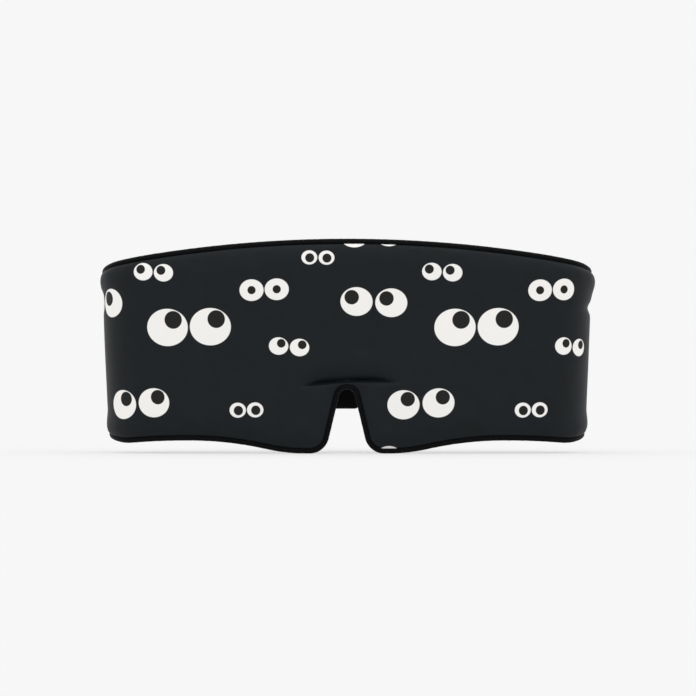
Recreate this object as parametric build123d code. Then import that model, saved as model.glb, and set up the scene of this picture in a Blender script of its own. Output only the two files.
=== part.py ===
"""Padded wrap-round sleep mask, closed into a flat loop by a hook-and-loop tab behind the head.

The mask stands as it is worn: +Z is up, the printed front faces -Y and +X is towards the wearer's left.
The origin is the centre of the loop in plan, at the height of the two cheek lobes. Sizes are in millimetres.
"""

import math
import os

from build123d import *

# Driving sizes of the closed loop.
WIDTH = 240.0  # outside, from fold to fold
DEPTH = 64.0  # outside, from the printed front to the back of the closure
HEIGHT = 103.6  # cheek lobes to the middle of the top edge
FOLD_RADIUS = 25.0  # outside radius of the folds at the temples

# Layers of the padded body, from the printed outside inwards.
THICKNESS = 8.0
FABRIC = 0.6  # printed cover and lining
INTERLINING = 0.4  # light-proof layer behind the eyes
PIPING = 2.8  # piping, across and high
FILLER = 1.5  # cord inside the piping

# Closure: the left band ends in a tab whose hooks grip the loop tape on the right band.
LOOP_TAPE = 1.2
HOOK_TAPE = 1.2
TAPE_GAP = 0.3
TAB_THICKNESS = 2.5
TAB_FABRIC = 0.6
RIGHT_BAND_SINK = LOOP_TAPE + TAPE_GAP + HOOK_TAPE + TAB_THICKNESS

LEFT_BAND_END = 6.0  # X where the padded part of the left band stops
RIGHT_BAND_END = -8.0  # X where the right band stops, under the tab
TAB_TIP = -64.0
TAB_LOW, TAB_HIGH = 21.0, 73.0  # Z
TAB_CORNER = 14.0
HOOK_SPAN = (-58.0, -14.0)  # X of the hook tape's ends
LOOP_SPAN = (-82.0, -12.0)
TAPE_MARGIN = 4.0  # from a tape's long edges to those of the tab

# Bodies part along upright planes through the folds' centres, with this gap for clearance.
SPLIT_GAP = 0.3
FAR = 60.0  # reach of a cutting shape past what it cuts

# Front outline, as seen from the front: arcs given by centre and radius.
TOP_ARC = 615.0  # radius of the top edge
NOSE_TOP = (0.0, 27.0, 4.0)  # x, z, radius of the round top of the nose notch
CHEEK = (18.2, 9.6, 9.6)  # rounded inner corner of each cheek lobe
LOBE_FLAT = 20.0  # X where the lobe's under edge starts to rise
LOBE_ARC = 90.0
ARCH_X = 78.0  # X of the highest point of the under edge beside the lobe
ARCH_ARC = 180.0
OUTER_ARCH_ARC = 400.0

# Heights of the under and top edges behind the fold.
BAND_START = (10.5, 84.5)  # at the fold's rear split
BAND_LEVEL = (20.0, 74.0)  # behind the head
BAND_CURVE = 330.0  # radius that rounds the taper into the level part

LABEL_SIZE = (26.0, 0.5, 16.0)
LABEL_PLACE = (44.0, 47.0)  # X, Z of the label's centre

END_X = WIDTH / 2 - FOLD_RADIUS  # X of a fold's centre
HALF_DEPTH = DEPTH / 2
TALL = HEIGHT + 2 * FAR
SPLIT = FOLD_RADIUS / math.sqrt(2)  # from a fold's centre to its 45 degree split, along X and along Y


def bow_radius(apex):
    """Radius of the shallow arc that meets both end arcs smoothly and stands apex from the X axis."""
    return (apex**2 + END_X**2 - FOLD_RADIUS**2) / (2 * (apex - FOLD_RADIUS))


FRONT_BOW = bow_radius(HALF_DEPTH)
RIGHT_APEX = HALF_DEPTH - RIGHT_BAND_SINK
RIGHT_BOW = bow_radius(RIGHT_APEX)
RIGHT_BOW_CENTRE = RIGHT_APEX - RIGHT_BOW


def oval(inset, back_apex):
    """Plan of the loop inside a skin of that thickness: two end arcs joined by shallow bows."""
    end_radius = FOLD_RADIUS - inset
    edges = []
    corners = {}
    for side, apex in ((-1, HALF_DEPTH), (1, back_apex)):
        bow = bow_radius(apex)
        centre_y = side * (apex - bow)
        lean = math.atan2(END_X, bow - apex)
        radius = bow - inset
        x, y = radius * math.sin(lean), centre_y + side * radius * math.cos(lean)
        corners[side] = (x, y)
        edges.append(Edge.make_three_point_arc((-x, y), (0, side * (apex - inset)), (x, y)))
    for end in (-1, 1):
        low, high = ((end * corners[s][0], corners[s][1]) for s in (-1, 1))
        edges.append(Edge.make_three_point_arc(low, (end * (END_X + end_radius), 0), high))
    return make_face(Wire(edges))


def ring(outer, inner, back_apex=HALF_DEPTH):
    """Plan of one layer, between two depths below the outside."""
    return oval(outer, back_apex) - oval(inner, back_apex)


def sector(points, gap=SPLIT_GAP / 2):
    """Part of the plan that belongs to one body, drawn in from its neighbours by half the gap."""
    return offset(make_face(Polyline(*points, close=True)), -gap, kind=Kind.INTERSECTION)


def upright(plan):
    return Pos(0, 0, -FAR) * extrude(plan, TALL)


def arc_height(x, centre_x, radius, level):
    """Height of a shallow arc that is level at centre_x. A negative radius droops away from there."""
    return level + (x - centre_x) ** 2 / (2 * radius)


RISE_X = (ARCH_ARC * LOBE_FLAT + LOBE_ARC * ARCH_X) / (ARCH_ARC + LOBE_ARC)
ARCH_Z = arc_height(RISE_X, LOBE_FLAT, LOBE_ARC, 0) + (ARCH_X - RISE_X) ** 2 / (2 * ARCH_ARC)


def under_height(x):
    """Height of the front's under edge beside the nose notch."""
    x = abs(x)
    if x < LOBE_FLAT:
        return 0.0
    if x < RISE_X:
        return arc_height(x, LOBE_FLAT, LOBE_ARC, 0)
    if x < ARCH_X:
        return arc_height(x, ARCH_X, -ARCH_ARC, ARCH_Z)
    return arc_height(x, ARCH_X, -OUTER_ARCH_ARC, ARCH_Z)


def top_height(x):
    return arc_height(x, 0, -TOP_ARC, HEIGHT)


def arc_between(height, x0, x1):
    """The outline's arc over two places, in the upright plane."""
    return Edge.make_three_point_arc(*((x, 0, height(x)) for x in (x0, (x0 + x1) / 2, x1)))


def notch_edges():
    """Left half of the nose notch, from the middle of its top to the flat of the cheek lobe."""
    (_, nose_z, nose_r), (cheek_x, cheek_z, cheek_r) = NOSE_TOP, CHEEK
    away = math.hypot(cheek_x, cheek_z - nose_z)
    slope = math.atan2(cheek_z - nose_z, cheek_x) - math.asin((nose_r + cheek_r) / away)
    out = (-math.sin(slope), math.cos(slope))  # square to the notch's straight side
    nose_end = (nose_r * out[0], 0, nose_z + nose_r * out[1])
    cheek_end = (cheek_x - cheek_r * out[0], 0, cheek_z - cheek_r * out[1])
    half = (math.pi / 2 + math.atan2(out[1], out[0])) / 2
    nose_mid = (nose_r * math.sin(half), 0, nose_z + nose_r * math.cos(half))
    turn = math.atan2(-out[1], -out[0])
    low = (turn - math.pi / 2 - 2 * math.pi * (turn > 0)) / 2
    cheek_mid = (cheek_x + cheek_r * math.cos(low), 0, cheek_z + cheek_r * math.sin(low))
    return [
        Edge.make_three_point_arc((0, 0, nose_z + nose_r), nose_mid, nose_end),
        Edge.make_line(nose_end, cheek_end),
        Edge.make_three_point_arc(cheek_end, cheek_mid, (cheek_x, 0, 0)),
        Edge.make_line((cheek_x, 0, 0), (LOBE_FLAT, 0, 0)),
    ]


def front_outline():
    """Front view of the mask, run on past both folds."""
    reach = WIDTH / 2 + FAR
    half = notch_edges()
    half += [arc_between(under_height, *pair) for pair in ((LOBE_FLAT, RISE_X), (RISE_X, ARCH_X), (ARCH_X, reach))]
    mirrored = [edge.mirror(Plane.YZ) for edge in half]
    sides = [Edge.make_line((x, 0, under_height(x)), (x, 0, top_height(x))) for x in (-reach, reach)]
    return make_face(Wire(half + mirrored + sides + [arc_between(top_height, -reach, reach)]))


def temple_outline():
    """Side view of a fold: both edges run straight from the front's heights to the band's."""
    x = END_X + SPLIT
    front = (under_height(x), top_height(x))
    grow = FAR / (2 * SPLIT)
    ends = [(a + (a - b) * grow, b + (b - a) * grow) for a, b in zip(front, BAND_START)]
    y = SPLIT + FAR
    low, high = ([(0, -y, front_z), (0, y, rear_z)] for front_z, rear_z in ends)
    return make_face(Polyline(*low, *reversed(high), close=True))


def band_edge(front, start, level, side):
    """One long edge of a band: straight on from the fold, then rounded into the level part behind the head."""
    x = END_X + SPLIT
    slope = (front - start) / (2 * SPLIT)
    corner_x = x + (level - start) / slope
    places = [(x + FAR, start + slope * FAR), (corner_x, level), (-FAR, level)]
    return FilletPolyline(*((side * px, 0, pz) for px, pz in places), radius=BAND_CURVE)


def band_outline(side):
    x = END_X + SPLIT
    fronts = (under_height(x), top_height(x))
    low, high = (band_edge(*heights, side) for heights in zip(fronts, BAND_START, BAND_LEVEL))
    ends = [Edge.make_line(low @ 0, high @ 0), Edge.make_line(low @ 1, high @ 1)]
    return make_face(Wire(low.edges() + high.edges() + ends))


def across(outline, inset, along):
    """Solid that runs right through the mask along one axis, with its outline drawn in by inset."""
    face = offset(outline, -inset, kind=Kind.ARC) if inset else outline
    reach = WIDTH if along == "X" else DEPTH + FAR
    direction = (1, 0, 0) if along == "X" else (0, 1, 0)
    return extrude(face, reach, dir=direction, both=True)


def write(node, shape):
    shape.label = node
    export_step(shape, os.path.join("parts", node + ".step"))


def above(shape, z):
    return Compound([s for s in shape.solids() if s.center().Z > z])


def below(shape, z):
    return Compound([s for s in shape.solids() if s.center().Z < z])


def padded_section(name, plan_of, outline, along, interlining=False):
    """Writes the cover, wadding, lining and piping of one stretch of the mask.

    plan_of(outer, inner, inset) gives the plan of a layer, where inset draws in the stretch's sewn end.
    """
    middle = THICKNESS / 2
    body = across(outline, PIPING, along)
    core = across(outline, PIPING + FABRIC, along)
    filling = upright(plan_of(FABRIC, THICKNESS - FABRIC, FABRIC)) & core
    write(name + "_cover", (upright(plan_of(0, middle, 0)) & body) - filling)
    write(name + "_lining", (upright(plan_of(middle, THICKNESS, 0)) & body) - filling)
    inner = THICKNESS - FABRIC
    if interlining:
        sheet = upright(plan_of(inner - INTERLINING, inner, FABRIC)) & core
        write(name + "_blackout_interlining", sheet)
        inner -= INTERLINING
    write(name + "_wadding", upright(plan_of(FABRIC, inner, FABRIC)) & core)

    half, cord = PIPING / 2, FILLER / 2
    whole = across(outline, 0, along)
    strip = (upright(plan_of(middle - half, middle + half, 0)) & whole) - body
    hollow_out = across(outline, half - cord, along) - across(outline, half + cord, along)
    filler = upright(plan_of(middle - cord, middle + cord, 0)) & hollow_out
    for edge, pick in (("top", above), ("bottom", below)):
        write(f"{name}_{edge}_piping", pick(strip, HEIGHT / 2) - pick(filler, HEIGHT / 2))
        write(f"{name}_{edge}_filler_cord", pick(filler, HEIGHT / 2))


def front():
    wide = END_X + FAR
    points = [(-END_X, 0), (END_X, 0), (wide, -FAR), (-wide, -FAR)]
    region = sector(points)
    padded_section("front", lambda o, i, _: ring(o, i) & region, front_outline(), "Y", interlining=True)


def temple(name, side):
    x = side * END_X
    points = [(x, 0), (x + side * FAR, -FAR), (x + side * FAR, FAR)]
    region = sector(points)
    padded_section(name, lambda o, i, _: ring(o, i) & region, temple_outline(), "X")


def band(name, side, end, apex):
    x = side * END_X

    def plan_of(outer, inner, inset):
        stop = end + side * inset
        return ring(outer, inner, apex) & sector([(x, 0), (x + side * FAR, FAR), (stop, FAR), (stop, 0)])

    padded_section(name, plan_of, band_outline(side), "Y")


def behind(low, high):
    """Upright layer that follows the right band's outside, between two distances out from it."""
    outer, inner = (Pos(0, RIGHT_BOW_CENTRE) * Circle(RIGHT_BOW + r) for r in (high, low))
    strip = Pos(0, FAR) * Rectangle(2 * END_X, 2 * FAR)
    return upright((outer & strip) - inner)


def panel(span, low, high, corner=0.0):
    """Front view of a flat piece, with the two corners at its low-X end rounded."""
    face = make_face(
        Polyline((span[0], 0, low), (span[1], 0, low), (span[1], 0, high), (span[0], 0, high), close=True)
    )
    if corner:
        face = fillet(face.vertices().sort_by(Axis.X)[:2], corner)
    return extrude(face, DEPTH, dir=(0, 1, 0), both=True)


def closure():
    """Hook tab of the left band and loop tape of the right one, one over the other."""
    tab = panel((TAB_TIP, LEFT_BAND_END - SPLIT_GAP / 2), TAB_LOW, TAB_HIGH, TAB_CORNER)
    hooks_low = LOOP_TAPE + TAPE_GAP
    tab_low = hooks_low + HOOK_TAPE
    tab_high = tab_low + TAB_THICKNESS
    low, high = TAB_LOW + TAPE_MARGIN, TAB_HIGH - TAPE_MARGIN
    write("tab_lining", behind(tab_low, tab_low + TAB_FABRIC) & tab)
    write("tab_stiffener", behind(tab_low + TAB_FABRIC, tab_high - TAB_FABRIC) & tab)
    write("tab_cover", behind(tab_high - TAB_FABRIC, tab_high) & tab)
    write("hook_tape", behind(hooks_low, tab_low) & panel(HOOK_SPAN, low, high, TAPE_MARGIN))
    write("loop_tape", behind(0, LOOP_TAPE) & panel(LOOP_SPAN, low, high))


def care_label():
    """Small woven tag sewn flat on the left band's lining."""
    length, thick, tall = LABEL_SIZE
    x, z = LABEL_PLACE
    strip = make_face(
        Polyline((x - length / 2, 0), (x + length / 2, 0), (x + length / 2, FAR), (x - length / 2, FAR), close=True)
    )
    plan = ring(THICKNESS, THICKNESS + thick) & strip
    window = Pos(x, 0, z) * Box(2 * length, WIDTH, tall)
    write("care_label", upright(plan) & window)


os.makedirs("parts", exist_ok=True)
front()
temple("left_temple", 1)
temple("right_temple", -1)
band("left_band", 1, LEFT_BAND_END, HALF_DEPTH)
band("right_band", -1, RIGHT_BAND_END, RIGHT_APEX)
closure()
care_label()
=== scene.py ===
"""Padded wrap-round sleep mask in printed satin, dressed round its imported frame. Sizes are in metres."""

import math

import bpy
import numpy as np
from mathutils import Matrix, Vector, noise


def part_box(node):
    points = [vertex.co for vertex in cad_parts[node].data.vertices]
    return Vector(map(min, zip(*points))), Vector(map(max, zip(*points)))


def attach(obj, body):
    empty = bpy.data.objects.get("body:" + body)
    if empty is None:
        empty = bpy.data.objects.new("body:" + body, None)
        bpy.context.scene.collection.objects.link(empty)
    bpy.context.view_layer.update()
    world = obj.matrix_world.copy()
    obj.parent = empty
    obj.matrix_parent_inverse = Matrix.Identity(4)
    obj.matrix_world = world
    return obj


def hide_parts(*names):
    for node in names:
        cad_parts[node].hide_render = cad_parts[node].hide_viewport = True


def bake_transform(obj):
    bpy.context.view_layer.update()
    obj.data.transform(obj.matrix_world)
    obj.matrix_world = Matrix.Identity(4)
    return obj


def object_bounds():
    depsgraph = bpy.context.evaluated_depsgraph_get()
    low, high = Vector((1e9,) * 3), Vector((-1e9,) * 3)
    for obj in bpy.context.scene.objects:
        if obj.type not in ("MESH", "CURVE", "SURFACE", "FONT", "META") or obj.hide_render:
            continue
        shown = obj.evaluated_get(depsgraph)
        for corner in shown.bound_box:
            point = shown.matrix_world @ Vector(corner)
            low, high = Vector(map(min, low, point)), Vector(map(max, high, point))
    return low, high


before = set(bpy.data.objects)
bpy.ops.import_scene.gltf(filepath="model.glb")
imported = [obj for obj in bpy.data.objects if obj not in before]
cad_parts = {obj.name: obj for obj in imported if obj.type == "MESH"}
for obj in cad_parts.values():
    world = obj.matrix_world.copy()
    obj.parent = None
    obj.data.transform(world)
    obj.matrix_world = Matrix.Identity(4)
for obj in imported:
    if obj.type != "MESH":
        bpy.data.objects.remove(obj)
cad_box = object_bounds()

# ---- The cut and the loop ----
# The mask is cut flat, stuffed, and bent into a loop. A place on it is (s, z, n): the distance round the
# outside from the front's middle, the height, and the depth below the outside. Each side of the nose is
# worked out on its own, as side 1 (left) or -1 (right).

THICK = 0.008  # of the whole mask, where it is full
FOLD = 0.025  # outside radius of the bends at the temples
EASE = 0.0035  # how far each change of bend is softened along the cloth
LEAN = 0.004  # how much closer together the folds stand at their feet than at their tops
LEAN_TOP = 0.09  # height where they stand as far apart as the loop's plan says
STEP = 0.0005  # spacing of the points that the loop's plan is worked out at

TOP_ARC = 0.615  # radius of the front's top edge
NOSE_TOP = (0.0, 0.027, 0.004)  # s, z and radius of the notch's top
CHEEK = (0.0182, 0.0096, 0.0096)  # s, z and radius of the notch's lower corner
LOBE_FLAT, LOBE_ARC = 0.020, 0.090  # where a cheek lobe's under edge starts to rise, and its radius
ARCH_S, ARCH_Z = 0.078, 0.00623  # highest place of the under edge's hollow
ARCH_ARC, OUTER_ARCH_ARC = 0.180, 0.400  # its radius towards the nose and towards the fold
FOLD_REAR = (0.0105, 0.0845)  # heights of the two edges at the rear of the fold
BAND_LEVEL = (0.020, 0.074)  # heights of the two edges behind the head
BAND_MIDDLE = sum(BAND_LEVEL) / 2
BAND_EASE = 0.032  # how far to each side the bands' edges are eased into the level
SOFT_FROM, SOFT_FULL = 0.06, 0.08  # x where the edges start to be softened, and where they fully are
BAND_CORNERS = {1: 0.003, -1: 0.008}  # the left band's end is nearly square, because the tab is sewn into it

half_wide, half_deep, tall = cad_box[1]
end_x = half_wide - FOLD
split = FOLD / math.sqrt(2)
apexes = {1: half_deep, -1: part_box("right_band_cover")[1].y}
band_ends = {1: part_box("left_band_cover")[0].x, -1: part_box("right_band_cover")[1].x}


def soften(values, width):
    """Running average with a bell-shaped weight of that width."""
    reach = np.arange(-4 * width, 4 * width + STEP, STEP)
    bell = np.exp(-(reach**2) / (2 * width**2))
    ends = len(reach) // 2
    padded = np.pad(values, ends, mode="reflect", reflect_type="odd")
    return np.convolve(padded, bell / bell.sum(), mode="valid")


def bow_radius(apex):
    return (apex**2 + end_x**2 - FOLD**2) / (2 * (apex - FOLD))


def band_height(x, front, rear, level):
    """Edge of a band: straight on from the fold, then eased into the level part behind the head."""
    slope = (front - rear) / (2 * split)
    past = x - (end_x + split + (level - rear) / slope)
    eased = (np.clip(past, -BAND_EASE, BAND_EASE) + BAND_EASE) ** 2 / (4 * BAND_EASE)
    return level + slope * (eased + np.maximum(past - BAND_EASE, 0))


def under_height(x):
    """Under edge of the front: a cheek lobe that rises into the hollow beside it."""
    rise = (ARCH_ARC * LOBE_FLAT + LOBE_ARC * ARCH_S) / (ARCH_ARC + LOBE_ARC)
    lobe = np.maximum(x - LOBE_FLAT, 0) ** 2 / (2 * LOBE_ARC)
    arch = ARCH_Z - (x - ARCH_S) ** 2 / (2 * np.where(x < ARCH_S, ARCH_ARC, OUTER_ARCH_ARC))
    return np.where(x < rise, lobe, arch)


def top_height(x):
    return tall - x**2 / (2 * TOP_ARC)


def loop_side(side):
    """Table of one side's outside line: distance, place, heading, and the heights of its two edges."""
    apex = apexes[side]
    front_bow, back_bow = bow_radius(half_deep), bow_radius(apex)
    lean, back_lean = (math.asin(end_x / (bow - FOLD)) for bow in (front_bow, back_bow))
    runs = [front_bow * lean, FOLD * (math.pi - lean - back_lean), back_bow * 2 * back_lean]
    s = np.arange(0, sum(runs), STEP)
    heading = np.interp(s, np.cumsum([0, *runs]), [0, lean, math.pi - back_lean, math.pi + back_lean])
    heading = soften(heading, EASE)
    x = np.cumsum(np.cos(heading) * STEP) - STEP
    y = np.cumsum(np.sin(heading) * STEP) - half_deep - EASE**2 / (2 * FOLD)
    edge_x = end_x + split
    edges = []
    for front, rear, level in zip((under_height, top_height), FOLD_REAR, BAND_LEVEL):
        at_fold = front(edge_x)
        bend = at_fold + (rear - at_fold) * (y + split) / (2 * split)
        flat = np.where(y < -split, front(x), np.where(y < split, bend, band_height(x, at_fold, rear, level)))
        far = np.clip((x - SOFT_FROM) / (SOFT_FULL - SOFT_FROM), 0, 1) + (y > 0)
        edges.append(flat + (soften(flat, EASE) - flat) * np.minimum(far, 1))
    stop = np.interp(-side * band_ends[side], -x[s > runs[0] + runs[1]], s[s > runs[0] + runs[1]])
    return {"s": s, "x": x, "y": y, "heading": heading, "edges": edges, "stop": stop}


sides = {side: loop_side(side) for side in (1, -1)}
extreme = {side: float(np.interp(math.pi / 2, table["heading"], table["s"])) for side, table in sides.items()}


def place(side, s, z, n):
    """Points in the frame for arrays of places on one side."""
    table = sides[side]
    x, y, heading = (np.interp(s, table["s"], table[key]) for key in ("x", "y", "heading"))
    x = x - n * np.sin(heading) - LEAN * (1 - z / LEAN_TOP) * (x / half_wide) ** 2
    y = y + n * np.cos(heading)
    return np.stack(np.broadcast_arrays(side * x, y, z), axis=-1)


def arc(centre, radius, start, stop, count=40):
    turn = np.radians(np.linspace(start, stop, count))
    return np.stack([centre[0] + radius * np.cos(turn), centre[1] + radius * np.sin(turn)], axis=1)


def edge_line(side, which, inset):
    """The cut's under (0) or top (1) edge, from the front's middle to the band's end, drawn in by inset."""
    table = sides[side]
    height = table["edges"][which]
    level = BAND_LEVEL[which]
    corner_r = BAND_CORNERS[side]
    stop = table["stop"] - corner_r
    inward = 1 if which == 0 else -1
    keep = (table["s"] >= (LOBE_FLAT if which == 0 else 0)) & (table["s"] < stop - 2 * STEP)
    s, z = table["s"][keep], height[keep]
    slope = np.gradient(z, s)
    shift = inward * inset / np.hypot(1, slope)
    run = np.stack([s - shift * slope, z + shift], axis=1)
    corner = arc((stop, level + inward * corner_r), corner_r - inset, -90 * inward, 0)
    if which == 1:
        return np.concatenate([run, corner])
    (_, nose_z, nose_r), (cheek_s, cheek_z, cheek_r) = NOSE_TOP, CHEEK
    away = math.hypot(cheek_s, cheek_z - nose_z)
    square = math.degrees(math.atan2(cheek_z - nose_z, cheek_s) - math.asin((nose_r + cheek_r) / away)) + 90
    nose = arc((0, nose_z), nose_r + inset, 90, square)
    cheek = arc((cheek_s, cheek_z), cheek_r - inset, square - 180, -90)
    return np.concatenate([nose, cheek, run, corner])


def even(line, spacing, start=None, stop=None):
    """Evenly spaced points along a line from one value of s to another, and how far along each one is."""
    run = np.concatenate([[0], np.cumsum(np.linalg.norm(np.diff(line, axis=0), axis=1))])
    first = 0.0 if start is None else float(np.interp(start, line[:, 0], run))
    last = run[-1] if stop is None else float(np.interp(stop, line[:, 0], run))
    along = np.linspace(first, last, max(2, round((last - first) / spacing) + 1))
    return np.stack([np.interp(along, run, line[:, k]) for k in (0, 1)], axis=1), along


# ---- Padding ----
# Bonded wadding fills the mask between the seams. It stands full in the middle and falls away to the piped
# edges, and where the notch pulls the cloth tight it folds into one crease over the nose.

COVER = 0.0003  # thickness of the satin
SLIP = 0.00005  # room left between one layer and the next
SEAM = 0.0024  # from the cut edge to the seam
RIM = 0.0010  # half the thickness left at the seam
ROLL = 0.012  # how far in from the seam the padding is full
TURNING = 0.0007  # how soon the cloth turned in at a seam thins out
SEAM_STEP = 0.0008
COLUMN = 0.0013
ROWS, TRIAL_ROWS = 120, 600
SEAM_ROWS = (3, 0.004)  # how many more rows there are at a seam, and how far in from it
CREASE_ROWS = (7, 0.005)  # the same for the crease
CREASE_ROWS_END = (0.040, 0.012)  # s where the crease's rows have gone, and over how much they go

LUMPS = (0.00035, 0.030)  # rise and spacing of the unevenness of the printed face
PUCKERS = (0.00035, 0.0065)  # the same for the puckers beside the seams
PUCKER_FROM, PUCKER_FADE = 0.002, 0.006  # distances from the seam at which they are full, and fade
LINING_LUMPS = (0.0003, 0.022)
FREE = 0.01  # how far in from a seam the cloth can rise and sink freely
FOLD_REACH = 0.024  # how far round from the fold the seams are pulled outwards
GATHERS = (0.0007, 0.0085)  # rise and spacing of the lining's upright folds inside a bend
GATHER_SINK = 0.6  # how far the lining sinks into the padding there, as a share of that rise
GATHER_REACH, GATHER_FROM = 0.022, 0.008  # how far round the bend they go, and from how far in from a seam
GATHER_SWAY = (0.0025, 0.03)  # how far they wander to the side, and over what height

CREASE = (-0.025, 0.029, 0.0350)  # s from, s to, z of the fold over the nose
CREASE_EASE = (0.014, 0.018)  # how far in from each of its ends it is full
CREASE_ARCH, CREASE_TILT = 3.0, 0.05  # how it bends down at both ends, and rises to the left
CREASE_DEEP = 0.0042
CREASE_ABOVE, CREASE_BELOW = 0.0027, 0.0006  # how far it takes to fall in and to come back out
CREASE_LEFT = 0.0018  # padding left under it
BULGE = (0.0090, 0.0045, 0.0006)  # height over the crease, half height and rise of what it pushes up
SEAM_SHIFT = 0.0022  # how far the seams are pulled outwards where the mask folds
PINCH = (0.0705, 0.0026, 0.0015)  # z, half height and depth of the dent in the left fold
PINCH_BULGE = (0.011, 0.007, 0.45)  # height over it, half height, and rise as a share of its depth
PINCH_REACH = 0.012  # how far round from the fold the dent goes

half_thick = THICK / 2


def distance_to(line, points):
    """Shortest distance from each point to a line of straight runs."""
    a, b = line[:-1], line[1:]
    d = b - a
    length = (d**2).sum(axis=1)
    out = np.empty(len(points))
    for k in range(0, len(points), 2000):
        p = points[k : k + 2000, None, :] - a[None]
        t = np.clip((p * d[None]).sum(axis=2) / length, 0, 1)
        out[k : k + 2000] = np.sqrt(((p - t[..., None] * d[None]) ** 2).sum(axis=2).min(axis=1))
    return out


def smooth(x):
    x = np.clip(x, 0, 1)
    return x * x * (3 - 2 * x)


def ripple(s, z, size, seed):
    """Gentle unevenness between -1 and 1, with lumps of that size."""
    flat = zip(s.ravel() / size, z.ravel() / size)
    return np.array([noise.noise(Vector((a, b, seed))) for a, b in flat]).reshape(s.shape)


def seam_away(side, s, z):
    """How far places on one side are from their nearest seam."""
    under, top = (even(edge_line(side, which, SEAM), SEAM_STEP)[0] for which in (0, 1))
    seam = np.concatenate([under, top[::-1]])
    return distance_to(seam, np.stack([s.ravel(), z.ravel()], axis=1)).reshape(s.shape)


def crease_height(signed):
    return CREASE[2] - CREASE_ARCH * signed**2 + CREASE_TILT * signed


def pad_grid(side):
    """Columns and rows of places between one side's seams, and how far each is from its nearest seam."""
    under, top = (edge_line(side, which, SEAM) for which in (0, 1))
    seam, _ = even(under, COLUMN)
    s = np.unique(np.round(np.concatenate([seam[:, 0], [0.0, extreme[side]]]), 6))
    s = s[np.concatenate([[True], np.diff(s) > COLUMN / 6]) | (s == round(extreme[side], 6))]
    low, high = (np.interp(s, line[:, 0], line[:, 1]) for line in (under, top))
    grid_s = np.repeat(s[:, None], ROWS, axis=1)
    trial_z = low[:, None] + (high - low)[:, None] * np.linspace(0, 1, TRIAL_ROWS)[None]
    extra, reach = SEAM_ROWS
    from_under, from_top = trial_z - low[:, None], high[:, None] - trial_z
    crowd = 1 + extra * np.exp(-from_under / reach) + extra * np.exp(-from_top / reach)
    extra, reach = CREASE_ROWS
    near_crease = np.exp(-(((trial_z - crease_height(side * s)[:, None]) / reach) ** 2))
    gone, fade = CREASE_ROWS_END
    crowd = crowd + extra * near_crease * smooth((gone - s) / fade)[:, None]
    share = np.cumsum(crowd, axis=1)
    share = (share - share[:, :1]) / (share[:, -1:] - share[:, :1])
    grid_z = np.stack([np.interp(np.linspace(0, 1, ROWS), *column) for column in zip(share, trial_z)])
    return grid_s, grid_z, seam_away(side, grid_s, grid_z)


def fullness(away):
    """Half thickness of the padding at that distance from a seam."""
    return RIM + (half_thick - RIM) * np.sqrt(1 - (1 - np.clip(away / ROLL, 0, 1)) ** 2)


def centre_depth(side, s, away):
    """Depth of the padding's middle: half way in, but drawn outwards at the seams where the mask folds."""
    fold = np.exp(-(((s - extreme[side]) / FOLD_REACH) ** 2))
    return half_thick - SEAM_SHIFT * fold * (1 - smooth(away / ROLL))


def lumps(signed, z, kind, seed):
    rise, spacing = kind
    return rise * ripple(signed, z, spacing, seed)


def outside_depth(side, s, z, away):
    """Depth of the printed face: the padding's crown, its unevenness, seam puckers and the nose's fold."""
    signed = side * s
    n = centre_depth(side, s, away) - fullness(away)
    n = n - lumps(signed, z, LUMPS, 1.0) * smooth(away / FREE)
    n = n + lumps(signed, z, PUCKERS, 2.0) * smooth(away / PUCKER_FROM) * np.exp(-away / PUCKER_FADE)
    start, stop, _ = CREASE
    window = smooth((signed - start) / CREASE_EASE[0]) * smooth((stop - signed) / CREASE_EASE[1])
    off = z - crease_height(signed)
    valley = np.exp(-np.abs(off) / np.where(off > 0, CREASE_ABOVE, CREASE_BELOW))
    height, half, rise = BULGE
    bulge = np.exp(-(((off - height) / half) ** 2))
    n = n + window * (CREASE_DEEP * valley - rise * bulge)
    height, half, deep = PINCH
    over, bulge_half, share = PINCH_BULGE
    off = z - height
    dent = np.exp(-((off / half) ** 2)) - share * np.exp(-(((off - over) / bulge_half) ** 2))
    near_fold = np.exp(-(((signed - extreme[1]) / PINCH_REACH) ** 2))
    return n + deep * dent * near_fold


def inside_depth(side, s, z, away):
    """Depth of the lining: full at rest, and gathered into upright folds inside the bends."""
    n = centre_depth(side, s, away) + fullness(away)
    n = n + lumps(side * s, z, LINING_LUMPS, 5.0) * smooth(away / FREE)
    bend = np.exp(-(((s - extreme[side]) / GATHER_REACH) ** 2))
    sway = lumps(np.full(z.shape, 3.0 * side), z, GATHER_SWAY, 6.0)
    rise, spacing = GATHERS
    gather = np.cos((s - extreme[side] + sway) * 2 * math.pi / spacing) * smooth(away / GATHER_FROM)
    return n - bend * rise * (gather + GATHER_SINK)


pads = {}
for side in (1, -1):
    s, z, away = pad_grid(side)
    inner = inside_depth(side, s, z, away)
    outer = np.minimum(outside_depth(side, s, z, away), inner - CREASE_LEFT)
    turned = (RIM - COVER - SLIP) * np.exp(-away / TURNING)  # the cloth turned in at the seams
    pads[side] = {"s": s, "z": z, "outer": outer, "inner": inner, "turned": turned}


def grid_normals(points):
    """Unit normals of a grid of points, pointing away from the head."""
    across, up = (np.gradient(points, axis=axis) for axis in (0, 1))
    normals = np.cross(across, up)
    return normals / np.maximum(np.linalg.norm(normals, axis=2, keepdims=True), 1e-12)


STRETCHES = {
    "left_front": (1, "front", "left_temple"),
    "left_back": (1, "left_temple", "left_band"),
    "right_front": (-1, "front", "right_temple"),
    "right_back": (-1, "right_temple", "right_band"),
}


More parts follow.
